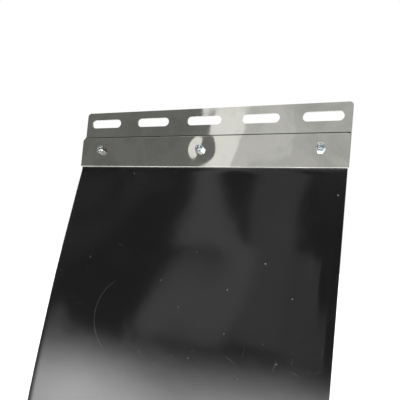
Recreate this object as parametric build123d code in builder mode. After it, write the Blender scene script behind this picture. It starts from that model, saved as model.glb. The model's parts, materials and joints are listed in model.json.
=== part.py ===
"""Hanging flap with clamp plates: a flexible black sheet bolted between a slotted back plate and a front strip.

Millimetres, +Z up, front towards -Y. The origin is the middle of the row of hanger slots, on the rear
face of the back plate, which lies against the bracket that the flap hangs from.
"""

from build123d import *

import os
from math import degrees, radians, tan

os.makedirs("parts", exist_ok=True)

# Back plate and its hanger slots
plate_width = 300.0
plate_height = 65.5
plate_thickness = 1.5
plate_corner_radius = 4.0
plate_edge_round = 0.3
slot_count = 5
slot_pitch = 61.5
slot_length = 39.0
slot_width = 9.6
slot_row_depth = 13.4  # from the plate's top edge down to the slots' middle line

# Front strip that clamps the sheet, as wide as the back plate and flush with its lower edge
strip_height = 33.6
strip_thickness = 1.5
strip_upper_corner = 4.0
strip_lower_corner = 1.0
strip_edge_round = 0.4

# Flexible sheet
sheet_inset = 1.0  # on each side, inside the plates' ends
sheet_length = 400.0  # cut length, measured along the sheet
sheet_thickness = 3.0
sheet_rise = 1.5  # how far the sheet's top edge stands above the strip's
bend_radius = 30.0  # of the middle of the sheet, where it leaves the clamp and leans forward
bend_angle = 14.0
sweep_radius = 2600.0  # of the long curve back towards the vertical

# The sheet bends anywhere; six hinge lines across it stand for that
first_hinge = 4.0  # along the sheet, below the clamp
hinge_spacing = 60.0
hinge_count = 6
hinge_gap = 1.0

# M5 hexagon bolts, nuts and flat washers, below the first, middle and last slot
bolt_row_rise = 19.2  # from the strip's lower edge
bolt_diameter = 5.0
bolt_stub = 0.5  # how far the bolt's end stands out of the nut
bolt_end_chamfer = 0.4
bolt_hole_play = 0.5  # on the diameter, through the plates, the strip and the sheet
head_flats = 8.0
head_height = 3.5
nut_flats = 8.0
nut_height = 4.7
nut_play = 0.1  # on the diameter, as the threads are left out
washer_outer = 10.0
washer_play = 0.3  # on the diameter
washer_thickness = 1.0
washer_edge_round = 0.15
hex_chamfer_angle = 30.0
hex_face_share = 0.95  # of the width across flats

# Widths, holes, planes and heights that follow from those sizes
strip_width = plate_width
sheet_width = plate_width - 2 * sheet_inset
bolt_hole = bolt_diameter + bolt_hole_play
nut_bore = bolt_diameter + nut_play
washer_hole = bolt_diameter + washer_play
plate_top = slot_row_depth
plate_bottom = plate_top - plate_height
strip_bottom = plate_bottom
strip_top = strip_bottom + strip_height
bolt_row = strip_bottom + bolt_row_rise
sheet_back = -plate_thickness
sheet_middle = sheet_back - sheet_thickness / 2
strip_back = sheet_back - sheet_thickness
strip_front = strip_back - strip_thickness
clamped_height = strip_height + sheet_rise
free_length = sheet_length - clamped_height
last_slot = (slot_count - 1) / 2 * slot_pitch
bolt_places = {"left": -last_slot, "centre": 0.0, "right": last_slot}


def write(piece, name):
    """Label a finished piece and write it as its own file."""
    piece.part.label = name
    export_step(piece.part, f"parts/{name}.step")


def facing_front(y):
    """A drawing plane at this depth whose normal points to the front and whose x is the model's X."""
    return Plane(origin=(0, y, 0), x_dir=(1, 0, 0), z_dir=(0, -1, 0))


def bolt_points():
    """The three bolt centres, in a front-facing plane."""
    return [(x, bolt_row) for x in bolt_places.values()]


# Back plate: one flat sheet of steel, holed for the bolts and slotted for the hanger's studs
with BuildPart() as back_plate:
    with BuildSketch(facing_front(0)):
        with Locations((0, (plate_top + plate_bottom) / 2)):
            RectangleRounded(plate_width, plate_height, plate_corner_radius)
        with GridLocations(slot_pitch, 0, slot_count, 1):
            SlotOverall(slot_length, slot_width, mode=Mode.SUBTRACT)
        with Locations(*bolt_points()):
            Circle(bolt_hole / 2, mode=Mode.SUBTRACT)
    extrude(amount=plate_thickness)
    front_rim = back_plate.faces().sort_by(Axis.Y)[0].outer_wire().edges()
    rear_rim = back_plate.faces().sort_by(Axis.Y)[-1].outer_wire().edges()
    fillet(front_rim + rear_rim, plate_edge_round)
write(back_plate, "back_plate")

# Front strip: its front edge is well rounded, its back edge is left square against the sheet
with BuildPart() as front_strip:
    with BuildSketch(facing_front(strip_back)):
        with Locations((0, (strip_top + strip_bottom) / 2)):
            blank = Rectangle(strip_width, strip_height)
        fillet(blank.vertices().group_by(Axis.Y)[-1], strip_upper_corner)
        fillet(blank.vertices().group_by(Axis.Y)[0], strip_lower_corner)
        with Locations(*bolt_points()):
            Circle(bolt_hole / 2, mode=Mode.SUBTRACT)
    extrude(amount=strip_thickness)
    fillet(front_strip.faces().sort_by(Axis.Y)[0].outer_wire().edges(), strip_edge_round)
write(front_strip, "front_strip")


def sheet_side(offset):
    """One side of the sheet's section, from its top edge down; offset is from its middle, towards the front.

    The section is drawn with x along the model's Y and y along its Z.
    """
    side_x = sheet_middle - offset
    clamp_run = Line((side_x, plate_bottom + clamped_height), (side_x, plate_bottom))
    lean = JernArc(clamp_run @ 1, (0, -1), bend_radius - offset, -bend_angle)
    sweep_angle = degrees((free_length - radians(bend_angle) * bend_radius) / sweep_radius)
    return [clamp_run, lean, JernArc(lean @ 1, lean % 1, sweep_radius + offset, sweep_angle)]


# The sheet's middle line, for the places and directions of the hinge lines
with BuildLine(Plane.YZ) as middle_line:
    sheet_side(0)


def hinge_plane(distance):
    """The plane square to the sheet this far below the clamp, its normal pointing down the sheet."""
    middle = middle_line.wire()
    along = clamped_height + distance
    place = middle.position_at(along, position_mode=PositionMode.LENGTH)
    return Plane(origin=place, z_dir=middle.tangent_at(along, position_mode=PositionMode.LENGTH))


# The whole sheet, from which the clamped edge and the bands are cut
with BuildPart() as sheet:
    with BuildSketch(Plane.YZ):
        with BuildLine():
            front_side = sheet_side(sheet_thickness / 2)
            back_side = sheet_side(-sheet_thickness / 2)
            Line(front_side[0] @ 0, back_side[0] @ 0)
            Line(front_side[-1] @ 1, back_side[-1] @ 1)
        make_face()
    extrude(amount=sheet_width / 2, both=True)

hinge_places = [first_hinge + hinge_spacing * i for i in range(hinge_count)]

with BuildPart() as flap_clamped_edge:
    add(sheet.part)
    split(bisect_by=hinge_plane(hinge_places[0] - hinge_gap / 2), keep=Keep.BOTTOM)
    with BuildSketch(facing_front(sheet_back)):
        with Locations(*bolt_points()):
            Circle(bolt_hole / 2)
    extrude(amount=sheet_thickness, mode=Mode.SUBTRACT)
write(flap_clamped_edge, "flap_clamped_edge")

for number, place in enumerate(hinge_places, start=1):
    hinge = hinge_plane(place)
    print(f"hinge {number}: y {hinge.origin.Y:.3f} z {hinge.origin.Z:.3f}")
    with BuildPart() as band:
        add(sheet.part)
        split(bisect_by=hinge_plane(place + hinge_gap / 2), keep=Keep.TOP)
        if number < hinge_count:
            split(bisect_by=hinge_plane(place + hinge_spacing - hinge_gap / 2), keep=Keep.BOTTOM)
    write(band, f"flap_band_{number}")


def corner_radius(flats):
    """From a hexagon's width across flats to its corners' radius."""
    return flats / 3**0.5


def face_radius(flats):
    """The round face that the turned chamfer leaves on the end of a hexagon."""
    return flats / 2 * hex_face_share


def chamfer_depth(flats):
    """How far down its corners the turned chamfer of a hexagon reaches."""
    return (corner_radius(flats) - face_radius(flats)) * tan(radians(hex_chamfer_angle))


head_seat = washer_thickness
nut_front = strip_front - nut_height
bolt_end = nut_front - bolt_stub

for side, x in bolt_places.items():
    bolt_axis = Axis((x, 0, bolt_row), (0, 1, 0))

    # Bolt: a turned blank, then the hexagon cut on its head, which is at the rear
    with BuildPart() as bolt:
        with BuildSketch(Plane.XY.offset(bolt_row)):
            with BuildLine():
                tip = bolt_diameter / 2 - bolt_end_chamfer
                corner = corner_radius(head_flats)
                head_top = head_seat + head_height
                slope = chamfer_depth(head_flats)
                Polyline(
                    (x, bolt_end),
                    (x + tip, bolt_end),
                    (x + bolt_diameter / 2, bolt_end + bolt_end_chamfer),
                    (x + bolt_diameter / 2, head_seat),
                    (x + corner, head_seat),
                    (x + corner, head_top - slope),
                    (x + face_radius(head_flats), head_top),
                    (x, head_top),
                    close=True,
                )
            make_face()
        revolve(axis=bolt_axis)
        with BuildSketch(facing_front(head_top)):
            with Locations((x, bolt_row)):
                RegularPolygon(head_flats / 2, 6, major_radius=False, rotation=30)
        extrude(amount=head_top - bolt_end, mode=Mode.INTERSECT)
    write(bolt, f"bolt_{side}")

    # Nut on the strip, chamfered on both faces
    with BuildPart() as nut:
        with BuildSketch(Plane.XY.offset(bolt_row)):
            with BuildLine():
                corner = corner_radius(nut_flats)
                slope = chamfer_depth(nut_flats)
                Polyline(
                    (x + nut_bore / 2, strip_front),
                    (x + face_radius(nut_flats), strip_front),
                    (x + corner, strip_front - slope),
                    (x + corner, nut_front + slope),
                    (x + face_radius(nut_flats), nut_front),
                    (x + nut_bore / 2, nut_front),
                    close=True,
                )
            make_face()
        revolve(axis=bolt_axis)
        with BuildSketch(facing_front(strip_front)):
            with Locations((x, bolt_row)):
                RegularPolygon(nut_flats / 2, 6, major_radius=False, rotation=30)
        extrude(amount=nut_height, mode=Mode.INTERSECT)
    write(nut, f"nut_{side}")

    # Washer under the bolt's head
    with BuildPart() as washer:
        with BuildSketch(facing_front(washer_thickness)):
            with Locations((x, bolt_row)):
                Circle(washer_outer / 2)
                Circle(washer_hole / 2, mode=Mode.SUBTRACT)
        extrude(amount=washer_thickness)
        fillet(washer.faces().sort_by(Axis.Y)[-1].outer_wire().edges(), washer_edge_round)
    write(washer, f"washer_{side}")
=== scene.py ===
# %% [markdown]
# # A hanging flap with clamp plates, dressed in Blender
# A glossy black sheet hangs from a slotted, mirror-polished steel plate. A second steel strip and
# three zinc-plated bolts squeeze the sheet against that plate. The CAD frame already fixes every size
# and every hinge line, so this lesson adds only what the eye asks for: rounded edges, dimples round the
# bolts, threads, a sheet that is never quite flat, and finishes that reflect a studio.

import json
import math

import bmesh
import bpy
import numpy as np
from mathutils import Matrix, Vector


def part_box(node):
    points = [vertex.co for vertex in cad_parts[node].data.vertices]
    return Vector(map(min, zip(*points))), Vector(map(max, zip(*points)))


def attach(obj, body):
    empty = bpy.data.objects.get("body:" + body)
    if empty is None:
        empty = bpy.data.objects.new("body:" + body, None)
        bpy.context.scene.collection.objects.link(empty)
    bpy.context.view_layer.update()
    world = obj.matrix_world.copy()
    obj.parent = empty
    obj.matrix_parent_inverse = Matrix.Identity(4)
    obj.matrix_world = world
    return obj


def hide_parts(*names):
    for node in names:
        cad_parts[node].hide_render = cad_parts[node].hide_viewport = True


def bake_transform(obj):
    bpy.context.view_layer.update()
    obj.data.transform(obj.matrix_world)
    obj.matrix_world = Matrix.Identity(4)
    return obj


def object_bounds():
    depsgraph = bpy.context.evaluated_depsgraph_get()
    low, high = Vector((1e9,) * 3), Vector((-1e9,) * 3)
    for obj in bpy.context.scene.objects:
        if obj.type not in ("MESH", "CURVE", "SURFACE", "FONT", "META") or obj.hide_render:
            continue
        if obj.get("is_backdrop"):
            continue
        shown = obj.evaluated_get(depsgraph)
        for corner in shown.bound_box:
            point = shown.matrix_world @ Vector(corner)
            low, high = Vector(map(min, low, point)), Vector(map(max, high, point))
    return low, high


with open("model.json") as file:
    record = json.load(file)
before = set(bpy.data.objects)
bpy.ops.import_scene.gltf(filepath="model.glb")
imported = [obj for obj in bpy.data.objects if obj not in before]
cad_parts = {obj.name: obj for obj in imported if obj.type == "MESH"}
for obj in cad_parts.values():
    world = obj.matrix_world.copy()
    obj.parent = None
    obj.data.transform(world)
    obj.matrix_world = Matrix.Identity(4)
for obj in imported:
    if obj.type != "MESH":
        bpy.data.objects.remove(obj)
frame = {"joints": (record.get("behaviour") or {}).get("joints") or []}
cad_low, cad_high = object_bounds()
MM = 0.001

# %% [markdown]
# The camera stands a little to the right of the plates' middle and lower than them, turned to the left and
# rolled a few degrees, as a phone is when it is held by hand. A roll is a turn about the camera's own
# line of sight, so it comes last in the product of matrices. A small vertical shift slides the frame
# without tilting the camera, which keeps upright edges upright.

# %% Camera
CAMERA_PLACE = (0.1476, -0.3867, -0.1478)
CAMERA_TURN, CAMERA_TILT, CAMERA_ROLL = math.radians(19.88), math.radians(1.87), math.radians(5.26)
LENS, SENSOR_WIDTH, FRAME_SHIFT = 34.77, 36.0, 0.1125

camera = bpy.data.objects.new("camera", bpy.data.cameras.new("camera"))
bpy.context.collection.objects.link(camera)
camera.data.lens, camera.data.sensor_width, camera.data.shift_y = LENS, SENSOR_WIDTH, FRAME_SHIFT
camera.data.clip_start = 0.01
camera.matrix_world = (
    Matrix.Translation(CAMERA_PLACE)
    @ Matrix.Rotation(CAMERA_TURN, 4, "Z")
    @ Matrix.Rotation(math.radians(90) + CAMERA_TILT, 4, "X")
    @ Matrix.Rotation(CAMERA_ROLL, 4, "Z")
)
bpy.context.scene.camera = camera
bpy.context.scene.view_settings.view_transform = "Standard"
print("lens", camera.data.lens, "mm")

# %% [markdown]
# Geometry and shader trees are both graphs of small steps. A few helpers keep them readable: one adds a
# node and sets its options, one connects or fills a socket, and two write arithmetic. The same helpers
# serve both kinds of tree, because their Math nodes are the same.

# %% Helpers for node trees
def node(tree, kind, **options):
    """Adds a node and sets its options."""
    made = tree.nodes.new(kind)
    for option, value in options.items():
        setattr(made, option, value)
    return made


def feed(tree, socket, value):
    """Connects an output to this socket, or sets the socket's own value."""
    if isinstance(value, bpy.types.NodeSocket):
        tree.links.new(value, socket)
    elif value is not None:
        socket.default_value = value


def maths(tree, operation, *values, clamp=False):
    """One Math node; values are numbers or outputs."""
    made = node(tree, "ShaderNodeMath", operation=operation, use_clamp=clamp)
    for socket, value in zip(made.inputs, values):
        feed(tree, socket, value)
    return made.outputs[0]


def vectors(tree, operation, *values):
    """One Vector Math node; values are vectors or outputs."""
    made = node(tree, "ShaderNodeVectorMath", operation=operation)
    for socket, value in zip(made.inputs, values):
        feed(tree, socket, value)
    return made.outputs[0]


def combine(tree, x=0.0, y=0.0, z=0.0):
    """A vector from three numbers or outputs."""
    made = node(tree, "ShaderNodeCombineXYZ")
    for socket, value in zip(made.inputs, (x, y, z)):
        feed(tree, socket, value)
    return made.outputs[0]


def separate(tree, vector):
    """The three parts of a vector."""
    made = node(tree, "ShaderNodeSeparateXYZ")
    feed(tree, made.inputs[0], vector)
    return made.outputs


def smooth(tree, value, low, high, to_low=0.0, to_high=1.0):
    """A soft step from to_low to to_high while value goes from low to high."""
    made = node(tree, "ShaderNodeMapRange", interpolation_type="SMOOTHSTEP")
    for socket, number in zip(made.inputs, (value, low, high, to_low, to_high)):
        feed(tree, socket, number)
    return made.outputs[0]


def noise(tree, vector, **settings):
    """A Noise texture in these coordinates, with its settings by name; returns its value."""
    made = node(tree, "ShaderNodeTexNoise")
    for label, value in dict({"Scale": 1.0}, **settings).items():
        made.inputs[label].default_value = value
    feed(tree, made.inputs["Vector"], vector)
    return made.outputs[0]


def in_steps(tree, vector, size):
    """The same coordinates, counted in steps of this size."""
    return vectors(tree, "DIVIDE", vector, combine(tree, size, size, size))


def new_group(name, kind, inputs, outputs):
    """A node group with named inputs and outputs; returns it and the two end nodes."""
    group = bpy.data.node_groups.new(name, kind)
    for label, socket in inputs:
        group.interface.new_socket(label, in_out="INPUT", socket_type=f"NodeSocket{socket}")
    for label, socket in outputs:
        group.interface.new_socket(label, in_out="OUTPUT", socket_type=f"NodeSocket{socket}")
    return group, node(group, "NodeGroupInput"), node(group, "NodeGroupOutput")


def store(tree, geometry, name, value):
    """Stores a number on every point under this name."""
    made = node(tree, "GeometryNodeStoreNamedAttribute", data_type="FLOAT", domain="POINT")
    for label, given in (("Geometry", geometry), ("Name", name), ("Value", value)):
        feed(tree, made.inputs[label], given)
    return made.outputs[0]


def stored(tree, name):
    """Reads a number that was stored under this name."""
    made = node(tree, "GeometryNodeInputNamedAttribute", data_type="FLOAT")
    made.inputs["Name"].default_value = name
    return made.outputs[0]


def close_tree(tree, geometry, start, end):
    """Ends a geometry tree: real geometry, dressed in the material that was given."""
    real = node(tree, "GeometryNodeRealizeInstances")
    feed(tree, real.inputs[0], geometry)
    dressed = node(tree, "GeometryNodeSetMaterial")
    feed(tree, dressed.inputs["Geometry"], real.outputs[0])
    feed(tree, dressed.inputs["Material"], start.outputs["Material"])
    feed(tree, end.inputs[0], dressed.outputs[0])


# %% Helpers for pieces
def run_tree(name, tree, material, **inputs):
    """Runs a geometry tree with the named inputs and returns its result as a plain mesh object."""
    holder = bpy.data.objects.new(name + "_maker", bpy.data.meshes.new(name + "_maker"))
    bpy.context.collection.objects.link(holder)
    modifier = holder.modifiers.new("maker", "NODES")
    modifier.node_group = tree
    sockets = {item.name: item.identifier for item in tree.interface.items_tree if item.in_out == "INPUT"}
    for label, value in dict(inputs, Material=material).items():
        modifier[sockets[label.replace("_", " ")]] = value
    bpy.context.view_layer.update()
    mesh = bpy.data.meshes.new_from_object(holder.evaluated_get(bpy.context.evaluated_depsgraph_get()))
    bpy.data.objects.remove(holder)
    mesh.name = name
    piece = bpy.data.objects.new(name, mesh)
    bpy.context.collection.objects.link(piece)
    return piece


def plain_mesh(name, points, faces, material):
    """A mesh object from points and faces."""
    mesh = bpy.data.meshes.new(name)
    mesh.from_pydata([tuple(p) for p in points], [], faces)
    if material:
        mesh.materials.append(material)
    piece = bpy.data.objects.new(name, mesh)
    bpy.context.collection.objects.link(piece)
    return piece


def outward(piece):
    """Turns the faces round if they point into a closed piece, and says if an edge is open."""
    shape = bmesh.new()
    shape.from_mesh(piece.data)
    volume = shape.calc_volume(signed=True)
    loose = sum(not edge.is_manifold for edge in shape.edges)
    if volume < 0:
        bmesh.ops.reverse_faces(shape, faces=shape.faces)
        shape.to_mesh(piece.data)
    shape.free()
    print(f"{piece.name}: {abs(volume) * 1e6:.3f} cm3, {loose} open edges")


def apply_modifiers(piece):
    """Makes a piece's modifiers part of its mesh."""
    bpy.context.view_layer.update()
    mesh = bpy.data.meshes.new_from_object(piece.evaluated_get(bpy.context.evaluated_depsgraph_get()))
    piece.modifiers.clear()
    piece.data = mesh


def soften_edges(piece, width, steps=3):
    """Rounds a flat-sided piece's sharp edges and keeps its faces optically flat."""
    piece.data.shade_smooth()
    bevel = piece.modifiers.new("soft_edges", "BEVEL")
    bevel.width, bevel.segments = width, steps
    bevel.limit_method, bevel.angle_limit = "ANGLE", math.radians(40)
    bevel.harden_normals = True
    apply_modifiers(piece)
    print(f"{piece.name}: {len(piece.data.polygons)} faces")


def finish_mesh(piece, crease=35):
    """Smooth shading, with the edges sharper than crease degrees kept crisp."""
    piece.data.shade_smooth()
    piece.data.set_sharp_from_angle(angle=math.radians(crease))
    print(f"{piece.name}: {len(piece.data.polygons)} faces")


# %% [markdown]
# ## Shared surface effects
# Real metal and real plastic are never perfectly clean. Three groups hold what both show: fine rubbing
# marks, soft smudges, and specks of dust. Each takes the coordinates it works in, so a flat plate can use
# its object coordinates and the bending sheet can use coordinates that were stored along it.

# %% Rubbing marks: fine straight scratches that run many ways
marks, start, end = new_group(
    "rubbing_marks", "ShaderNodeTree",
    [("Vector", "Vector"), ("Spacing", "Float"), ("Amount", "Float"), ("Turn", "Float")],
    [("Mask", "Float")],
)
given = start.outputs
# each layer of marks has its own direction, in radians, and is this many times longer than wide
LAYERS = ((0.0, 34.0), (0.9, 48.0), (2.2, 40.0))
FAINTEST, STRONGEST = 0.80, 0.86
layers = []
for turn, stretch in LAYERS:
    rotated = node(marks, "ShaderNodeVectorRotate", rotation_type="Z_AXIS")
    feed(marks, rotated.inputs["Vector"], given["Vector"])
    feed(marks, rotated.inputs["Angle"], maths(marks, "ADD", given["Turn"], turn))
    length = maths(marks, "MULTIPLY", given["Spacing"], stretch)
    scaled = vectors(marks, "DIVIDE", rotated.outputs[0], combine(marks, length, given["Spacing"], 1.0))
    grains = noise(marks, vectors(marks, "ADD", scaled, (turn * 7, turn * 3, turn)), Detail=1.0)
    faintest = maths(marks, "SUBTRACT", FAINTEST, given["Amount"])
    layers.append(smooth(marks, grains, faintest, STRONGEST))
strongest = maths(marks, "MAXIMUM", maths(marks, "MAXIMUM", layers[0], layers[1]), layers[2])
feed(marks, end.inputs["Mask"], strongest)
print("groups:", marks.name)

# %% Smudges: soft clouds left by hands and cloths
smudges, start, end = new_group(
    "smudges", "ShaderNodeTree",
    [("Vector", "Vector"), ("Size", "Float"), ("Low", "Float"), ("High", "Float")], [("Mask", "Float")],
)
given = start.outputs
scaled = in_steps(smudges, given["Vector"], given["Size"])
cloud = noise(smudges, scaled, Detail=4.0, Roughness=0.55, Distortion=0.6)
feed(smudges, end.inputs["Mask"], smooth(smudges, cloud, given["Low"], given["High"]))
print("groups:", smudges.name)

# %% Specks: dust, one speck in some of the cells
specks, start, end = new_group(
    "dust_specks", "ShaderNodeTree",
    [("Vector", "Vector"), ("Spacing", "Float"), ("Share", "Float"), ("Radius", "Float")],
    [("Mask", "Float")],
)
given = start.outputs
cells = node(specks, "ShaderNodeTexVoronoi")
cells.inputs["Scale"].default_value = 1.0
cells.inputs["Randomness"].default_value = 1.0
feed(specks, cells.inputs["Vector"], in_steps(specks, given["Vector"], given["Spacing"]))
chance = separate(specks, cells.outputs["Color"])
speck_size = maths(specks, "MULTIPLY", given["Radius"], maths(specks, "ADD", 0.4, chance[1]))
inside = smooth(specks, cells.outputs["Distance"], speck_size, maths(specks, "MULTIPLY", speck_size, 0.5))
chosen = maths(specks, "LESS_THAN", chance[0], given["Share"])
feed(specks, end.inputs["Mask"], maths(specks, "MULTIPLY", inside, chosen))
print("groups:", specks.name)

# %% [markdown]
# ## Finishes
# A Principled shader holds each finish. Values that are the same all over are typed into its sockets; only
# colour, roughness, and the height that feeds the Bump node change over the surface.

# %% Helpers for finishes
def new_finish(name):
    """A material with an empty Principled shader; returns material, tree and shader."""
    material = bpy.data.materials.new(name)
    material.use_nodes = True
    tree = material.node_tree
    tree.nodes.clear()
    shader = node(tree, "ShaderNodeBsdfPrincipled")
    output = node(tree, "ShaderNodeOutputMaterial")
    tree.links.new(shader.outputs[0], output.inputs["Surface"])
    return material, tree, shader


def effect(tree, group, vector, **values):
    """Places a shared effect and returns its mask."""
    made = node(tree, "ShaderNodeGroup", node_tree=group)
    feed(tree, made.inputs["Vector"], vector)
    for label, value in values.items():
        feed(tree, made.inputs[label], value)
    return made.outputs["Mask"]


def blend_colour(tree, mask, first, second):
    """Mixes two colours by a mask."""
    made = node(tree, "ShaderNodeMix", data_type="RGBA")
    for label, value in (("Factor", mask), ("A", first), ("B", second)):
        socket = next(s for s in made.inputs if s.name == label and s.enabled)
        feed(tree, socket, value)
    return next(s for s in made.outputs if s.enabled)


def bump(tree, shader, height, distance, strength=1.0):
    """Feeds a height, in metres once multiplied by distance, to the shader's normal."""
    made = node(tree, "ShaderNodeBump")
    made.inputs["Strength"].default_value = strength
    made.inputs["Distance"].default_value = distance
    feed(tree, made.inputs["Height"], height)
    tree.links.new(made.outputs[0], shader.inputs["Normal"])


# %% [markdown]
# Mirror-polished stainless steel keeps a faint haze from rolling, buffing marks and fingerprints. Its colour
# is a warm light grey. The plates aren't optically flat either, so a very low, wide noise bends their
# reflections.

# %% Polished steel
STEEL_CLEAN, STEEL_HANDLED = (0.63, 0.625, 0.58, 1), (0.53, 0.53, 0.49, 1)
STEEL_RUBBED = (0.74, 0.74, 0.72, 1)

mirror_steel, tree, shader = new_finish("mirror_steel")
place = node(tree, "ShaderNodeTexCoord").outputs["Object"]
flat = node(tree, "ShaderNodeVectorRotate", rotation_type="X_AXIS")
flat.inputs["Angle"].default_value = math.radians(90)
feed(tree, flat.inputs["Vector"], place)
flat = flat.outputs[0]
rubbed = effect(tree, marks, flat, Spacing=0.00035, Amount=0.06, Turn=0.1)
handled = effect(tree, smudges, flat, Size=0.035, Low=0.42, High=0.68)
steel_tone = blend_colour(tree, handled, STEEL_CLEAN, STEEL_HANDLED)
steel_tone = blend_colour(tree, maths(tree, "MULTIPLY", rubbed, 0.35), steel_tone, STEEL_RUBBED)
feed(tree, shader.inputs["Base Color"], steel_tone)
shader.inputs["Metallic"].default_value = 1.0
feed(tree, shader.inputs["Roughness"], maths(
    tree, "ADD", maths(tree, "MULTIPLY", handled, 0.03), maths(tree, "MULTIPLY_ADD", rubbed, 0.10, 0.035)))
waves = noise(tree, place, Scale=22.0, Detail=1.0)
bump(tree, shader, maths(tree, "ADD", waves, maths(tree, "MULTIPLY", rubbed, 0.01)), 0.0004)
print("finish:", mirror_steel.name)

# %% [markdown]
# Bright zinc plating is bluer than steel, and its grain is coarse enough to blur reflections. It thins to a
# yellowish tint in places.

# %% Zinc-plated steel
ZINC_BLUE, ZINC_YELLOW = (0.50, 0.56, 0.60, 1), (0.62, 0.60, 0.57, 1)

zinc_plating, tree, shader = new_finish("zinc_plating")
place = node(tree, "ShaderNodeTexCoord").outputs["Object"]
tint = effect(tree, smudges, place, Size=0.006, Low=0.45, High=0.62)
feed(tree, shader.inputs["Base Color"], blend_colour(tree, tint, ZINC_BLUE, ZINC_YELLOW))
shader.inputs["Metallic"].default_value = 1.0
feed(tree, shader.inputs["Roughness"], maths(tree, "MULTIPLY_ADD", tint, 0.08, 0.16))
bump(tree, shader, noise(tree, place, Scale=1800.0, Detail=2.0), 0.00004, 0.5)
print("finish:", zinc_plating.name)

# %% [markdown]
# The sheet is black right through and moulded glossy. Most of what shows is reflection: a clean dark mirror
# near the clamp, hazier where road film and cloths have dulled it. It bends, so its pattern uses the
# coordinates stored along it, which stay on the material as it moves.

# %% Black sheet
# One long scratch on the left is part of a circle; its middle, radius and width are in metres on the sheet
SCRATCH_MIDDLE, SCRATCH_RADIUS, SCRATCH_WIDTH = (-0.045, 0.165), 0.042, 0.0004
BLACK_CLEAN, BLACK_HAZY = (0.0035, 0.0035, 0.0037, 1), (0.010, 0.010, 0.011, 1)
BLACK_SCRATCHED, DUST = (0.10, 0.10, 0.10, 1), (0.5, 0.5, 0.48, 1)

gloss_black, tree, shader = new_finish("gloss_black")
across = node(tree, "ShaderNodeAttribute", attribute_name="across").outputs["Fac"]
along = node(tree, "ShaderNodeAttribute", attribute_name="along").outputs["Fac"]
on_sheet = combine(tree, across, along, 0.0)
scratched = effect(tree, marks, on_sheet, Spacing=0.0006, Amount=0.07, Turn=0.5)
hazy = effect(tree, smudges, on_sheet, Size=0.09, Low=0.45, High=0.75)
dusty = effect(tree, specks, on_sheet, Spacing=0.010, Share=0.35, Radius=0.06)
across_scratch = maths(tree, "SUBTRACT", across, SCRATCH_MIDDLE[0])
along_scratch = maths(tree, "SUBTRACT", along, SCRATCH_MIDDLE[1])
from_middle = maths(tree, "SQRT", maths(
    tree, "ADD", maths(tree, "MULTIPLY", across_scratch, across_scratch),
    maths(tree, "MULTIPLY", along_scratch, along_scratch)))
off_line = maths(tree, "ABSOLUTE", maths(tree, "SUBTRACT", from_middle, SCRATCH_RADIUS))
scratch = maths(tree, "MULTIPLY", smooth(tree, off_line, SCRATCH_WIDTH, 0.0),
                smooth(tree, across_scratch, -0.5 * SCRATCH_RADIUS, -0.7 * SCRATCH_RADIUS))
scratched = maths(tree, "MAXIMUM", scratched, scratch)
film = blend_colour(tree, hazy, BLACK_CLEAN, BLACK_HAZY)
film = blend_colour(tree, maths(tree, "MULTIPLY", scratched, 0.25), film, BLACK_SCRATCHED)
film = blend_colour(tree, maths(tree, "MULTIPLY", dusty, 0.7), film, DUST)
feed(tree, shader.inputs["Base Color"], film)
shader.inputs["IOR"].default_value = 1.5
feed(tree, shader.inputs["Roughness"], maths(
    tree, "ADD", maths(tree, "MULTIPLY_ADD", hazy, 0.06, 0.10),
    maths(tree, "MULTIPLY", maths(tree, "MAXIMUM", scratched, dusty), 0.25)))
ripple = noise(tree, on_sheet, Scale=55.0, Detail=1.0)
bump(tree, shader, maths(tree, "ADD", ripple, maths(tree, "MULTIPLY", scratched, 0.2)), 0.00003)
print("finish:", gloss_black.name)

# %% [markdown]
# ## The sheet
# On the real object the sheet is one piece of flexible plastic. It leaves the clamp, leans forward round a
# short bend, and sweeps back towards the vertical. In the frame it is a clamped edge and six bands on
# hinges. Here it is six lengths, each from the middle of one band to the middle of the next, where
# neighbours meet, so the sheet stays whole.
#
# A Geometry Nodes tree sweeps one section along a path. That suits a sheet, because its rounded cut edges
# come with the section, and the distances across and along can be stored on the way for the finish to use.
# A soft sheet is never flat either, so the tree lifts it in wide waves and a few swells.

# %% The sheet's middle line, from the frame
BEND_RADIUS, BEND_ANGLE, SWEEP_RADIUS = 0.030, math.radians(14), 2.6
SHEET_LENGTH = 0.400
plate_low, plate_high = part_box("back_plate")
strip_low, strip_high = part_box("front_strip")
edge_low, edge_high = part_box("flap_clamped_edge")
sheet_middle = (plate_low.y + strip_high.y) / 2
sheet_thickness = plate_low.y - strip_high.y
sheet_width = edge_high.x - edge_low.x
clamped_height = edge_high.z - plate_low.z
free_length = SHEET_LENGTH - clamped_height


def sheet_station(distance):
    """Place (y, z) of the sheet's middle this far below the clamp's lower edge; negative is inside it."""
    if distance <= 0:
        return sheet_middle, plate_low.z - distance
    bend_length = BEND_RADIUS * BEND_ANGLE
    lean = min(distance / BEND_RADIUS, BEND_ANGLE)
    y = sheet_middle - BEND_RADIUS * (1 - math.cos(lean))
    z = plate_low.z - BEND_RADIUS * math.sin(lean)
    if distance > bend_length:
        lean = BEND_ANGLE - (distance - bend_length) / SWEEP_RADIUS
        y += SWEEP_RADIUS * (math.cos(BEND_ANGLE) - math.cos(lean))
        z += SWEEP_RADIUS * (math.sin(lean) - math.sin(BEND_ANGLE))
    return y, z


def nearest_distance(point):
    """How far along the sheet its middle line passes this point."""
    tries = np.linspace(0, free_length, 4000)
    gaps = [math.dist(sheet_station(s), (point.y, point.z)) for s in tries]
    return float(tries[int(np.argmin(gaps))])


joints = frame["joints"]
hinge_places = [nearest_distance(Vector(joint["pos_m"])) for joint in joints]
print("hinges, mm below the clamp:", [round(s / MM, 1) for s in hinge_places])

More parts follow.
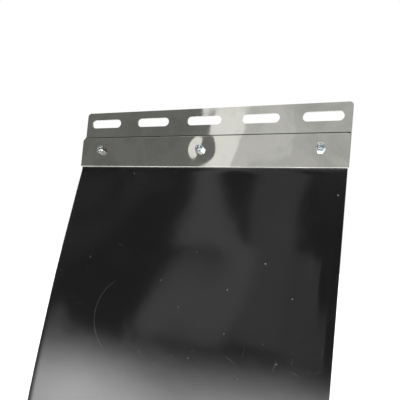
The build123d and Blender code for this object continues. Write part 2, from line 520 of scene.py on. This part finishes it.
# %% A swell: one smooth low hill on the sheet
SWELL_SIZES = ("Centre Across", "Centre Along", "Width", "Length", "Height")
swell, start, end = new_group(
    "swell", "GeometryNodeTree", [(label, "Float") for label in ("Across", "Along", *SWELL_SIZES)],
    [("Lift", "Float")],
)
squares = []
for axis, size in (("Across", "Width"), ("Along", "Length")):
    away = maths(swell, "SUBTRACT", start.outputs[axis], start.outputs["Centre " + axis])
    away = maths(swell, "DIVIDE", away, start.outputs[size])
    squares.append(maths(swell, "MULTIPLY", away, away))
fall = maths(swell, "EXPONENT", maths(swell, "MULTIPLY", maths(swell, "ADD", *squares), -1.0))
feed(swell, end.inputs["Lift"], maths(swell, "MULTIPLY", fall, start.outputs["Height"]))
print("tree:", swell.name)

# %% The tree that sweeps a section along a path
sweep, start, end = new_group(
    "swept_sheet", "GeometryNodeTree",
    [("Path", "Object"), ("Section", "Object"), ("Start Distance", "Float"), ("Half Width", "Float"),
     ("Wave Height", "Float"), ("Wave Size", "Float"), ("Seed", "Float"), ("Edge Roll", "Float"),
     ("Roll Width", "Float"), ("Material", "Material")],
    [("Geometry", "Geometry")],
)
# each swell's sizes in millimetres, in the order of SWELL_SIZES; its height is towards the front
SWELLS = (
    (-80, 190, 60, 120, 1.6),
    (25, 170, 60, 130, -2.6),
    (-130, 140, 16, 30, 1.0),
    (131, 105, 8, 30, 0.6),
    (150, 160, 30, 200, -1.0),
)
CLAMP_FADE = 0.07  # metres below the clamp over which the sheet becomes free to wave
path = node(sweep, "GeometryNodeObjectInfo")
feed(sweep, path.inputs["Object"], start.outputs["Path"])
section = node(sweep, "GeometryNodeObjectInfo")
feed(sweep, section.inputs["Object"], start.outputs["Section"])
place = separate(sweep, node(sweep, "GeometryNodeInputPosition").outputs[0])
run = node(sweep, "GeometryNodeSplineParameter").outputs["Length"]
distance = maths(sweep, "ADD", run, start.outputs["Start Distance"])
line = store(sweep, path.outputs["Geometry"], "along", distance)
upright = node(sweep, "GeometryNodeSetCurveNormal", mode="FREE")
upright.inputs["Normal"].default_value = (1, 0, 0)
feed(sweep, upright.inputs["Curve"], line)
swept = node(sweep, "GeometryNodeCurveToMesh")
swept.inputs["Fill Caps"].default_value = True
feed(sweep, swept.inputs["Curve"], upright.outputs[0])
feed(sweep, swept.inputs["Profile Curve"], store(sweep, section.outputs["Geometry"], "across", place[0]))

across, along = stored(sweep, "across"), stored(sweep, "along")
wave_size = combine(sweep, start.outputs["Wave Size"], start.outputs["Wave Size"], 1.0)
on_sheet = combine(sweep, across, along, start.outputs["Seed"])
wave = noise(sweep, vectors(sweep, "DIVIDE", on_sheet, wave_size), Detail=0.5)
lift = maths(sweep, "MULTIPLY", maths(sweep, "SUBTRACT", wave, 0.5), start.outputs["Wave Height"])
for values in SWELLS:
    hill = node(sweep, "GeometryNodeGroup", node_tree=swell)
    feed(sweep, hill.inputs["Across"], across)
    feed(sweep, hill.inputs["Along"], along)
    for label, value in zip(SWELL_SIZES, values):
        hill.inputs[label].default_value = value * MM
    lift = maths(sweep, "ADD", lift, hill.outputs["Lift"])
from_edge = maths(sweep, "SUBTRACT", start.outputs["Half Width"], maths(sweep, "ABSOLUTE", across))
roll = maths(sweep, "MULTIPLY", smooth(sweep, from_edge, 0.0, start.outputs["Roll Width"], 1.0, 0.0),
             start.outputs["Edge Roll"])
lift = maths(sweep, "SUBTRACT", lift, roll)
free = smooth(sweep, along, 0.0, CLAMP_FADE)
forward = maths(sweep, "MULTIPLY", maths(sweep, "MULTIPLY", lift, free), -1.0)
moved = node(sweep, "GeometryNodeSetPosition")
feed(sweep, moved.inputs["Geometry"], swept.outputs[0])
feed(sweep, moved.inputs["Offset"], combine(sweep, 0.0, forward, 0.0))
close_tree(sweep, moved.outputs[0], start, end)
print("tree:", sweep.name)

# %% [markdown]
# The path and the section are plain curves. Rows lie closer together near the ends of each length, so that
# the shading of two neighbours agrees where they meet.

# %% Path and section curves
SHEET_EDGE_ROUND = 0.4 * MM
COLUMNS = 120
ROW_SPACING = 3 * MM
SEAM_ROW = 0.2 * MM


def point_curve(name, points, closed=False):
    """A straight-run curve object through these points."""
    curve = bpy.data.curves.new(name, "CURVE")
    curve.dimensions = "3D"
    line = curve.splines.new("POLY")
    line.points.add(len(points) - 1)
    line.points.foreach_set("co", np.c_[np.array(points, float), np.ones(len(points))].ravel())
    line.use_cyclic_u = closed
    made = bpy.data.objects.new(name, curve)
    bpy.context.collection.objects.link(made)
    return made


def rounded_bar(half_width, half_height, radius, columns, steps=4):
    """The outline of a bar with rounded corners, anticlockwise, with many points on its long sides."""
    points = []
    for turn, (side_x, side_y) in enumerate(((1, 1), (-1, 1), (-1, -1), (1, -1))):
        centre = (side_x * (half_width - radius), side_y * (half_height - radius))
        for step in range(steps + 1):
            angle = math.radians(90 * (turn + step / steps))
            points.append((centre[0] + radius * math.cos(angle), centre[1] + radius * math.sin(angle)))
        if turn in (0, 2):
            reach = half_width - radius
            level = side_y * half_height
            points += [(side_x * x, level) for x in np.linspace(reach, -reach, columns + 1)[1:-1]]
    return points


def path_between(first, last):
    """Points down the sheet's middle line, close together at both ends."""
    rows = max(4, round((last - first) / ROW_SPACING))
    stops = [first, first + SEAM_ROW, *np.linspace(first, last, rows + 1)[1:-1], last - SEAM_ROW, last]
    if first < 0:
        stops += [*np.linspace(0, BEND_RADIUS * BEND_ANGLE, 9), *np.linspace(-clamped_height, 0, 5)[1:-1]]
    return [(0.0, *sheet_station(s)) for s in sorted(set(stops))]


outline = rounded_bar(sheet_width / 2, sheet_thickness / 2, SHEET_EDGE_ROUND, COLUMNS)
section = point_curve("sheet_section", [(x, y, 0.0) for x, y in outline], closed=True)
print(len(outline), "points round the section")

# %% Six lengths of sheet, each reaching across one hinge
middles = [(a + b) / 2 for a, b in zip(hinge_places, hinge_places[1:])]
ends = [-clamped_height, *middles, free_length]
BEND_REACH = 0.028
WAVE_HEIGHT, WAVE_SIZE, WAVE_SEED = 0.7 * MM, 0.085, 3.7
EDGE_ROLL, ROLL_WIDTH = 0.45 * MM, 6 * MM
for number, (joint, hinge, first, last) in enumerate(zip(joints, hinge_places, ends, ends[1:]), 1):
    path = point_curve("sheet_path", path_between(first, last))
    piece = run_tree(
        f"flap_sheet_{number}", sweep, gloss_black, Path=path, Section=section, Start_Distance=first,
        Half_Width=sheet_width / 2, Wave_Height=WAVE_HEIGHT, Wave_Size=WAVE_SIZE, Seed=WAVE_SEED,
        Edge_Roll=EDGE_ROLL, Roll_Width=ROLL_WIDTH)
    bpy.data.objects.remove(path)
    outward(piece)
    finish_mesh(piece)
    bend_from, bend_to = max(hinge - BEND_REACH, 0.0), hinge + BEND_REACH
    sheet_station(bend_from)
    sheet_station(bend_to)
    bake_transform(piece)
    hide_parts(f"flap_band_{number}", *(["flap_clamped_edge"] if number == 1 else []))
    print(f"  {first / MM:.1f} to {last / MM:.1f} mm, bent {bend_from / MM:.0f} to {bend_to / MM:.0f} mm")
bpy.data.objects.remove(section)

# %% [markdown]
# ## The back plate
# The back plate is blanked from 1.5 mm sheet steel: an outline, five slots to hang it by, and three bolt
# holes. A tree punches it the same way: it fills one outline with the openings left out, gives the
# result a thickness, and a Bevel modifier takes the sharpness off the cut edges.

# %% The punched plate tree
punched, start, end = new_group(
    "punched_plate", "GeometryNodeTree",
    [("Width", "Float"), ("Height", "Float"), ("Corner", "Float"), ("Thickness", "Float"),
     ("Slot Count", "Int"), ("Slot Pitch", "Float"), ("Slot Length", "Float"), ("Slot Height", "Float"),
     ("Hole Radius", "Float"), ("Hole Pitch", "Float"), ("Plate Centre", "Vector"), ("Hole Drop", "Float"),
     ("Material", "Material")],
    [("Geometry", "Geometry")],
)
given = start.outputs


def rounded_rectangle(tree, width, height, radius, steps):
    """A rectangle curve with round corners."""
    sides = node(tree, "GeometryNodeCurvePrimitiveQuadrilateral", mode="RECTANGLE")
    feed(tree, sides.inputs["Width"], width)
    feed(tree, sides.inputs["Height"], height)
    rounding = node(tree, "GeometryNodeFilletCurve", mode="POLY")
    rounding.inputs["Count"].default_value = steps
    rounding.inputs["Limit Radius"].default_value = True
    feed(tree, rounding.inputs["Curve"], sides.outputs[0])
    feed(tree, rounding.inputs["Radius"], radius)
    return rounding.outputs[0]


def row_of(tree, shape, count, pitch, height):
    """Copies of a curve in a row that is centred on X, at this height."""
    length = maths(tree, "MULTIPLY", maths(tree, "SUBTRACT", count, 1.0), pitch)
    reach = maths(tree, "MULTIPLY", length, -0.5)
    points = node(tree, "GeometryNodeMeshLine")
    feed(tree, points.inputs["Count"], count)
    feed(tree, points.inputs["Start Location"], combine(tree, reach, height, 0.0))
    feed(tree, points.inputs["Offset"], combine(tree, pitch, 0.0, 0.0))
    placed = node(tree, "GeometryNodeInstanceOnPoints")
    feed(tree, placed.inputs["Points"], points.outputs[0])
    feed(tree, placed.inputs["Instance"], shape)
    real = node(tree, "GeometryNodeRealizeInstances")
    feed(tree, real.inputs[0], placed.outputs[0])
    return real.outputs[0]


centre = separate(punched, given["Plate Centre"])
sides = node(punched, "GeometryNodeTransform")
outer = rounded_rectangle(punched, given["Width"], given["Height"], given["Corner"], 10)
feed(punched, sides.inputs["Geometry"], outer)
feed(punched, sides.inputs["Translation"], combine(punched, centre[0], centre[2], 0.0))
slot = rounded_rectangle(punched, given["Slot Length"], given["Slot Height"],
                         maths(punched, "MULTIPLY", given["Slot Height"], 0.4999), 16)
hole = node(punched, "GeometryNodeCurvePrimitiveCircle", mode="RADIUS")
hole.inputs["Resolution"].default_value = 40
feed(punched, hole.inputs["Radius"], given["Hole Radius"])
lines = node(punched, "GeometryNodeJoinGeometry")
for shape in (sides.outputs[0], row_of(punched, slot, given["Slot Count"], given["Slot Pitch"], 0.0),
              row_of(punched, hole.outputs[0], 3, given["Hole Pitch"], given["Hole Drop"])):
    punched.links.new(shape, lines.inputs[0])
blank = node(punched, "GeometryNodeFillCurve", mode="TRIANGLES")
feed(punched, blank.inputs["Curve"], lines.outputs[0])
raised = node(punched, "GeometryNodeExtrudeMesh", mode="FACES")
raised.inputs["Individual"].default_value = False
feed(punched, raised.inputs["Mesh"], blank.outputs[0])
feed(punched, raised.inputs["Offset Scale"], given["Thickness"])
turned_over = node(punched, "GeometryNodeFlipFaces")
feed(punched, turned_over.inputs[0], blank.outputs[0])
both = node(punched, "GeometryNodeJoinGeometry")
punched.links.new(raised.outputs[0], both.inputs[0])
punched.links.new(turned_over.outputs[0], both.inputs[0])
welded = node(punched, "GeometryNodeMergeByDistance")
welded.inputs["Distance"].default_value = 1e-6
feed(punched, welded.inputs["Geometry"], both.outputs[0])
stood = node(punched, "GeometryNodeTransform")
stood.inputs["Rotation"].default_value = (math.radians(90), 0, 0)
feed(punched, stood.inputs["Geometry"], welded.outputs[0])
feed(punched, stood.inputs["Translation"], combine(punched, 0.0, centre[1], 0.0))
close_tree(punched, stood.outputs[0], start, end)
print("tree:", punched.name)

# %% Punch the back plate
bolts = [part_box(f"bolt_{side}") for side in ("left", "centre", "right")]
bolt_places = [((low + high) / 2).x for low, high in bolts]
bolt_height = (bolts[1][0].z + bolts[1][1].z) / 2
plate_size = plate_high - plate_low
PLATE_CORNER, PLATE_EDGE, HOLE_RADIUS = 4 * MM, 0.3 * MM, 2.75 * MM
SLOT_COUNT, SLOT_PITCH, SLOT_LENGTH, SLOT_HEIGHT = 5, 61.5 * MM, 39 * MM, 9.6 * MM
back_plate = run_tree(
    "back_plate_steel", punched, mirror_steel, Width=plate_size.x, Height=plate_size.z, Corner=PLATE_CORNER,
    Thickness=plate_size.y, Slot_Count=SLOT_COUNT, Slot_Pitch=SLOT_PITCH, Slot_Length=SLOT_LENGTH,
    Slot_Height=SLOT_HEIGHT,
    Hole_Radius=HOLE_RADIUS, Hole_Pitch=bolt_places[2] - bolt_places[1], Hole_Drop=bolt_height,
    Plate_Centre=(0, plate_high.y, (plate_low.z + plate_high.z) / 2))
outward(back_plate)
soften_edges(back_plate, PLATE_EDGE)
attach(back_plate, "hanger")
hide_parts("back_plate")

# %% [markdown]
# ## The clamp strip
# The strip is thin enough for the bolts to pull it in: round each nut its polished face is a shallow dish,
# and the reflections curl there. A grid of faces can hold such a shape. Its lines crowd towards the
# edges to make them round, and in the corners the square grid is squeezed into quarter circles, wide ones
# above and tight ones below. The bolt holes are cut last with a Boolean.

# %% The strip's grid
UPPER_CORNER, LOWER_CORNER, STRIP_EDGE = 4 * MM, 1 * MM, 0.35 * MM
DISH_DEPTH, DISH_REACH, DISH_FALL, SEAT = 0.35 * MM, 24 * MM, 2.2, 6 * MM


def grid_lines(low, high):
    """Places of the grid lines along one side: crowded at the rounded edges, about 1 mm apart between."""
    rounds = [STRIP_EDGE * (1 - math.sin(math.radians(a))) for a in (90, 75, 60, 45, 30, 15, 0)]
    near = rounds + [1.2 * STRIP_EDGE, LOWER_CORNER, 2 * MM, 3 * MM, UPPER_CORNER]
    inner = np.linspace(low + UPPER_CORNER, high - UPPER_CORNER, round((high - low) / MM) - 7)
    return np.array([low + d for d in near[:-1]] + list(inner) + [high - d for d in reversed(near[:-1])])


def dish(x, z):
    """How far in front of the bolts' seats the face stands at this place."""
    away = min(math.hypot(x - bolt, z - bolt_height) for bolt in bolt_places)
    share = min(max((away - SEAT) / (DISH_REACH - SEAT), 0), 1)
    return DISH_DEPTH * (1 - (1 - share) ** DISH_FALL)


def strip_point(x, z):
    """A grid crossing's place on the rounded outline, and its distance from the edge."""
    middle = (strip_low + strip_high) / 2
    half_x, half_z = (strip_high.x - strip_low.x) / 2, (strip_high.z - strip_low.z) / 2
    corner = UPPER_CORNER if z > middle.z else LOWER_CORNER
    over_x, over_z = abs(x - middle.x) - (half_x - corner), abs(z - middle.z) - (half_z - corner)
    if over_x > 0 and over_z > 0:
        reach = max(over_x, over_z)
        angle = math.radians(45) * (over_z / over_x if over_x >= over_z else 2 - over_x / over_z)
        x = middle.x + math.copysign(half_x - corner + reach * math.cos(angle), x - middle.x)
        z = middle.z + math.copysign(half_z - corner + reach * math.sin(angle), z - middle.z)
        return x, z, corner - reach
    return x, z, max(min(-over_x, -over_z) + corner, 0)


lines_x, lines_z = grid_lines(strip_low.x, strip_high.x), grid_lines(strip_low.z, strip_high.z)
front, back = [], []
for x in lines_x:
    for z in lines_z:
        px, pz, inset = strip_point(x, z)
        drop = STRIP_EDGE - math.sqrt(max(STRIP_EDGE**2 - max(STRIP_EDGE - inset, 0) ** 2, 0))
        lift = dish(px, pz)
        front.append((px, strip_low.y - lift + drop, pz))
        back.append((px, strip_high.y - lift, pz))
rows, columns = len(lines_z), len(lines_x)
faces = []
for i in range(columns - 1):
    for j in range(rows - 1):
        a, b, c, d = i * rows + j, (i + 1) * rows + j, (i + 1) * rows + j + 1, i * rows + j + 1
        faces += [(a, b, c, d), (a + len(front), d + len(front), c + len(front), b + len(front))]
rim = [i * rows for i in range(columns)] + [(columns - 1) * rows + j for j in range(1, rows)]
rim += [i * rows + rows - 1 for i in reversed(range(columns - 1))] + list(reversed(range(1, rows - 1)))
for a, b in zip(rim, rim[1:] + rim[:1]):
    faces.append((b, a, a + len(front), b + len(front)))
clamp_strip = plain_mesh("clamp_strip", front + back, faces, mirror_steel)
print(len(lines_x), "by", len(lines_z), "grid lines")

# %% Drill the strip
DRILL_SIDES, DRILL_OVERRUN = 48, 3 * MM
ring = [math.tau * k / DRILL_SIDES for k in range(DRILL_SIDES)]
walls = [(k, (k + 1) % DRILL_SIDES, DRILL_SIDES + (k + 1) % DRILL_SIDES, DRILL_SIDES + k)
         for k in range(DRILL_SIDES)]
caps = [tuple(reversed(range(DRILL_SIDES))), tuple(range(DRILL_SIDES, 2 * DRILL_SIDES))]
drills = []
for x in bolt_places:
    rims = [(x + HOLE_RADIUS * math.cos(t), y, bolt_height + HOLE_RADIUS * math.sin(t))
            for y in (strip_low.y - DRILL_OVERRUN, strip_high.y + DRILL_OVERRUN) for t in ring]
    drills.append(plain_mesh("drill", rims, walls + caps, None))
    outward(drills[-1])
outward(clamp_strip)
for drill in drills:
    cut = clamp_strip.modifiers.new("drilled", "BOOLEAN")
    cut.operation, cut.object, cut.solver = "DIFFERENCE", drill, "EXACT"
apply_modifiers(clamp_strip)
for drill in drills:
    bpy.data.objects.remove(drill)
finish_mesh(clamp_strip, 40)
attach(clamp_strip, "hanger")
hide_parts("front_strip")

# %% [markdown]
# ## Bolts, nuts and washers
# All nine fasteners are turned parts, so one tree makes them: it spins a profile round the bolt's axis,
# cuts the flats where the profile is wider than the hexagon, and presses a screw thread into it. The cone
# that turns the corners off a real nut comes by itself, because the smaller of cone and hexagon wins.

# %% The turned part tree
turned, start, end = new_group(
    "turned_part", "GeometryNodeTree",
    [("Profile", "Object"), ("Segments", "Int"), ("Flat Distance", "Float"), ("Flats From", "Float"),
     ("Flats To", "Float"), ("Thread Radius", "Float"), ("Thread Depth", "Float"), ("Thread Pitch", "Float"),
     ("Thread From", "Float"), ("Thread To", "Float"), ("Turn", "Float"), ("Place", "Vector"),
     ("Material", "Material")],
    [("Geometry", "Geometry")],
)
given = start.outputs
profile = node(turned, "GeometryNodeObjectInfo")
feed(turned, profile.inputs["Object"], given["Profile"])
profile = profile.outputs["Geometry"]
size = node(turned, "GeometryNodeAttributeDomainSize", component="MESH")
feed(turned, size.inputs["Geometry"], profile)
count = size.outputs["Point Count"]
cloth = node(turned, "GeometryNodeMeshGrid")
cloth.inputs["Size X"].default_value = cloth.inputs["Size Y"].default_value = 1.0
feed(turned, cloth.inputs["Vertices X"], maths(turned, "ADD", given["Segments"], 1.0))
feed(turned, cloth.inputs["Vertices Y"], count)
here = separate(turned, node(turned, "GeometryNodeInputPosition").outputs[0])
angle = maths(turned, "MULTIPLY", maths(turned, "ADD", here[0], 0.5), math.tau)
row = maths(turned, "MULTIPLY", maths(turned, "ADD", here[1], 0.5), maths(turned, "SUBTRACT", count, 1.0))
sample = node(turned, "GeometryNodeSampleIndex", data_type="FLOAT_VECTOR", domain="POINT")
feed(turned, sample.inputs["Geometry"], profile)
feed(turned, sample.inputs["Value"], node(turned, "GeometryNodeInputPosition").outputs[0])
feed(turned, sample.inputs["Index"], maths(turned, "ROUND", row))
point = separate(turned, sample.outputs[0])
radius, height = point[0], point[1]


def between(tree, value, low, high):
    """1 while value lies between low and high, else 0."""
    above = maths(tree, "GREATER_THAN", value, low)
    return maths(tree, "MULTIPLY", above, maths(tree, "LESS_THAN", value, high))


def only_between(tree, limit, value, low, high):
    """A radius limit that holds between low and high, and is a metre wider, so no limit, elsewhere."""
    return maths(tree, "ADD", limit, maths(tree, "SUBTRACT", 1.0, between(tree, value, low, high)))


sixth = math.radians(60)
past_corner = maths(turned, "FLOORED_MODULO", maths(turned, "ADD", angle, sixth / 2), sixth)
in_sixth = maths(turned, "SUBTRACT", past_corner, sixth / 2)
flat = maths(turned, "DIVIDE", given["Flat Distance"], maths(turned, "COSINE", in_sixth))
flat = only_between(turned, flat, height, given["Flats From"], given["Flats To"])
screw = maths(turned, "MULTIPLY", maths(turned, "DIVIDE", height, given["Thread Pitch"]), math.tau)
screw = maths(turned, "ADD", screw, angle)
groove = maths(turned, "MULTIPLY", maths(turned, "SUBTRACT", 1.0, maths(turned, "COSINE", screw)), 0.5)
groove = maths(turned, "MULTIPLY", groove, given["Thread Depth"])
core = maths(turned, "SUBTRACT", given["Thread Radius"], groove)
core = only_between(turned, core, height, given["Thread From"], given["Thread To"])
radius = maths(turned, "MINIMUM", maths(turned, "MINIMUM", radius, flat), core)
spun = maths(turned, "ADD", angle, given["Turn"])
round_place = combine(turned, maths(turned, "MULTIPLY", radius, maths(turned, "COSINE", spun)), height,
                      maths(turned, "MULTIPLY", radius, maths(turned, "SINE", spun)))
shaped = node(turned, "GeometryNodeSetPosition")
feed(turned, shaped.inputs["Geometry"], cloth.outputs["Mesh"])
feed(turned, shaped.inputs["Position"], vectors(turned, "ADD", round_place, given["Place"]))
welded = node(turned, "GeometryNodeMergeByDistance")
welded.inputs["Distance"].default_value = 2e-6
feed(turned, welded.inputs["Geometry"], shaped.outputs[0])
close_tree(turned, welded.outputs[0], start, end)
print("tree:", turned.name)

# %% [markdown]
# A profile is a chain of (radius, place along the bolt) points. The back of the part is at +Y, so the
# chains run from the head at the back to the bolt's end at the front. Small cones at every rim stand for
# the chamfers that guide a spanner or a nut.

# %% Profiles
AXIS = 0.0
ACROSS_FLATS, CORNER_RADIUS, FACE_RADIUS = 8 * MM, 4.62 * MM, 3.8 * MM
THREAD_RADIUS, THREAD_PITCH, THREAD_DEPTH = 2.5 * MM, 0.8 * MM, 0.47 * MM
CHAMFER_SLOPE = math.tan(math.radians(30))
ROWS_PER_TURN = 12
washer_low, washer_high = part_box("washer_left")
bolt_low, bolt_high = bolts[0]
head_seat = washer_high.y


def cone(first, last, steps=10):
    """Points on a straight run between two profile points."""
    return [(first[0] + (last[0] - first[0]) * k / steps, first[1] + (last[1] - first[1]) * k / steps)
            for k in range(steps + 1)]


def chamfer(face, inward_step):
    """The run from a spanner face's flat disc out to the corners, on a 30 degree cone."""
    drop = (CORNER_RADIUS - FACE_RADIUS) * CHAMFER_SLOPE
    return cone((FACE_RADIUS, face), (CORNER_RADIUS, face + inward_step * drop))


def profile_object(name, points):
    """A chain of profile points as a mesh that a tree can sample."""
    return plain_mesh(name, [(r, y, 0.0) for r, y in points], [], None)


bolt_end = bolt_low.y
turns_of_thread = round((head_seat - bolt_end) / THREAD_PITCH)
shank = np.linspace(head_seat - 0.3 * MM, bolt_end + 0.6 * MM, turns_of_thread * ROWS_PER_TURN)
bolt_profile = [
    (AXIS, bolt_high.y), (FACE_RADIUS - 0.5 * MM, bolt_high.y), *chamfer(bolt_high.y, -1),
    *reversed(chamfer(head_seat, 1)), (THREAD_RADIUS + 0.2 * MM, head_seat),
    (THREAD_RADIUS, head_seat - 0.2 * MM), *[(THREAD_RADIUS, y) for y in shank],
    *cone((THREAD_RADIUS, bolt_end + 0.5 * MM), (THREAD_RADIUS - 0.5 * MM, bolt_end + 0.02 * MM), 6),
    (THREAD_RADIUS - 0.6 * MM, bolt_end), (AXIS, bolt_end),
]
bore, lead_in = THREAD_RADIUS + 0.05 * MM, 0.4 * MM
nut_low, nut_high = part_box("nut_left")
nut_profile = [
    (bore, nut_high.y - lead_in), (bore, nut_low.y + lead_in), (bore + lead_in, nut_low.y),
    (FACE_RADIUS - 0.4 * MM, nut_low.y), *chamfer(nut_low.y, 1), *reversed(chamfer(nut_high.y, -1)),
    (bore + lead_in, nut_high.y), (bore, nut_high.y - lead_in),
]
rim, eye, rounding = 5 * MM, THREAD_RADIUS + 0.15 * MM, 0.15 * MM
washer_profile = [
    (eye, washer_low.y + rounding), (eye, washer_high.y - rounding), (eye + rounding, washer_high.y),
    (rim - rounding, washer_high.y),
    *cone((rim - rounding / 4, washer_high.y - rounding / 2), (rim, washer_high.y - rounding), 2),
    (rim, washer_low.y + rounding), (rim - rounding, washer_low.y), (eye + rounding, washer_low.y),
    (eye, washer_low.y + rounding),
]
print(len(bolt_profile), "points down the bolt")

# %% Turn the nine fasteners
FAR = 1.0  # metres, past both ends of any fastener, for flats and threads that run right through or nowhere
TURNS = {"bolt": (50, 8, 33), "nut": (12, 41, 25), "washer": (0, 0, 0)}  # degrees, left to right
for kind, chain, flats, thread, segments in (
    ("bolt", bolt_profile, (head_seat - 0.1 * MM, FAR), (-FAR, head_seat - 0.25 * MM), 72),
    ("nut", nut_profile, (-FAR, FAR), (FAR, FAR + 1), 96),
    ("washer", washer_profile, (FAR, FAR + 1), (FAR, FAR + 1), 64),
):
    chain_object = profile_object(kind + "_profile", chain)
    for number, side in enumerate(("left", "centre", "right")):
        piece = run_tree(
            f"{kind}_{side}_zinc", turned, zinc_plating, Profile=chain_object, Segments=segments,
            Flat_Distance=ACROSS_FLATS / 2, Flats_From=flats[0], Flats_To=flats[1],
            Thread_Radius=THREAD_RADIUS, Thread_Depth=THREAD_DEPTH, Thread_Pitch=THREAD_PITCH,
            Thread_From=thread[0], Thread_To=thread[1], Turn=math.radians(TURNS[kind][number]),
            Place=(bolt_places[number], 0, bolt_height))
        outward(piece)
        finish_mesh(piece, 24)
        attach(piece, "hanger")
        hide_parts(f"{kind}_{side}")
    bpy.data.objects.remove(chain_object)

# %% [markdown]
# ## Studio
# The sheet and the plates are mirrors, so they show the room as much as themselves. A plain studio does:
# a dim, even room that is brighter behind and overhead, and a pale floor that is brightest far off in
# front and dimmer close by. The camera itself sees plain white.

# %% Surroundings
FRONT_WALL, BACK_WALL, CEILING = 0.2, 0.6, 1.5
FAR_FLOOR, NEAR_FLOOR = 8.5, 0.6

world = bpy.data.worlds.new("studio")
bpy.context.scene.world = world
world.use_nodes = True
tree = world.node_tree
tree.nodes.clear()
toward = separate(tree, node(tree, "ShaderNodeTexCoord").outputs["Generated"])
walls = smooth(tree, toward[1], -0.6, 0.3, FRONT_WALL, BACK_WALL)
ceiling = smooth(tree, toward[2], 0.7, 0.95, 0.0, CEILING)
in_front = smooth(tree, toward[1], -0.6, -0.82)
far_off = smooth(tree, toward[2], -0.38, -0.17)
far_share = maths(tree, "MULTIPLY", in_front, far_off)
floor_light = maths(tree, "MULTIPLY_ADD", far_share, FAR_FLOOR - NEAR_FLOOR, NEAR_FLOOR)
glow = maths(tree, "MULTIPLY", smooth(tree, toward[2], 0.12, -0.12), floor_light)
room = maths(tree, "ADD", maths(tree, "ADD", walls, ceiling), glow)
only_camera = node(tree, "ShaderNodeLightPath").outputs["Is Camera Ray"]
backdrop = node(tree, "ShaderNodeBackground")
seen = blend_colour(tree, only_camera, combine(tree, room, room, room), (1, 1, 1, 1))
feed(tree, backdrop.inputs["Color"], seen)
tree.links.new(backdrop.outputs[0], node(tree, "ShaderNodeOutputWorld").inputs["Surface"])
print("world:", world.name)

# %% [markdown]
# Four soft panels stand three metres in front, side by side. A bright narrow one on the left gives the
# plates their bright band, one above it gives the sheet its streak, and two dimmer ones lift the right
# side. A panel's power follows from its area and the brightness it should have.

# %% Soft panels
PANEL_DISTANCE = 3.0


def soft_panel(name, across, up, width, height, brightness, lean=0.0):
    """A flat light facing the object, its middle this far across and up, its top leaning by lean degrees."""
    light = bpy.data.lights.new(name, "AREA")
    light.shape, light.size, light.size_y = "RECTANGLE", width, height
    light.energy = brightness * math.pi * width * height
    panel = bpy.data.objects.new(name, light)
    bpy.context.collection.objects.link(panel)
    facing = Matrix.Rotation(math.radians(90), 4, "X")
    panel.matrix_world = (Matrix.Translation((across, -PANEL_DISTANCE, up))
                          @ Matrix.Rotation(math.radians(-lean), 4, "Y") @ facing)
    print(name, "faces", [round(v, 2) for v in panel.matrix_world.to_3x3() @ Vector((0, 0, -1))])


soft_panel("key_panel", -0.98, 0.75, 0.3, 1.2, 0.85, lean=-12)
soft_panel("streak_panel", -1.22, 1.95, 0.28, 1.5, 0.9, lean=15)
soft_panel("tall_panel", -0.53, 1.7, 0.56, 3.0, 0.52, lean=-3)
soft_panel("side_panel", -0.03, 0.75, 0.6, 1.2, 0.42, lean=-3)

# %% Pale floor and soft sun
FLOOR_DROP, FLOOR_REACH = 0.06, 40.0
FLOOR_TONES = (0.86, 0.86, 0.86, 1), (0.88, 0.88, 0.88, 1)
SUN_POWER, SUN_ANGLE = 3.4, math.radians(70)
floor_height = cad_low.z - FLOOR_DROP
floor_finish, tree, shader = new_finish("pale_floor")
place = node(tree, "ShaderNodeTexCoord").outputs["Object"]
cloudy = effect(tree, smudges, place, Size=0.4, Low=0.3, High=0.7)
feed(tree, shader.inputs["Base Color"], blend_colour(tree, cloudy, *FLOOR_TONES))
shader.inputs["Roughness"].default_value = 0.7
corners = [(x * FLOOR_REACH, y * FLOOR_REACH, floor_height) for x, y in ((-1, -1), (1, -1), (1, 1), (-1, 1))]
floor = plain_mesh("floor", corners, [(0, 1, 2, 3)], floor_finish)
floor.visible_glossy = False
floor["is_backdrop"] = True

sun = bpy.data.objects.new("soft_sun", bpy.data.lights.new("soft_sun", "SUN"))
bpy.context.collection.objects.link(sun)
sun.data.energy, sun.data.angle = SUN_POWER, SUN_ANGLE
sun.rotation_euler = (math.radians(-12), math.radians(-14), 0)
sun.visible_glossy = False
print("floor at", round(floor_height, 3), "m")

# %% Sizes
low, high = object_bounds()
for label, a, b in (("cad", cad_low, cad_high), ("visual", low, high)):
    print(label, [round(v / MM, 1) for v in a], [round(v / MM, 1) for v in b])
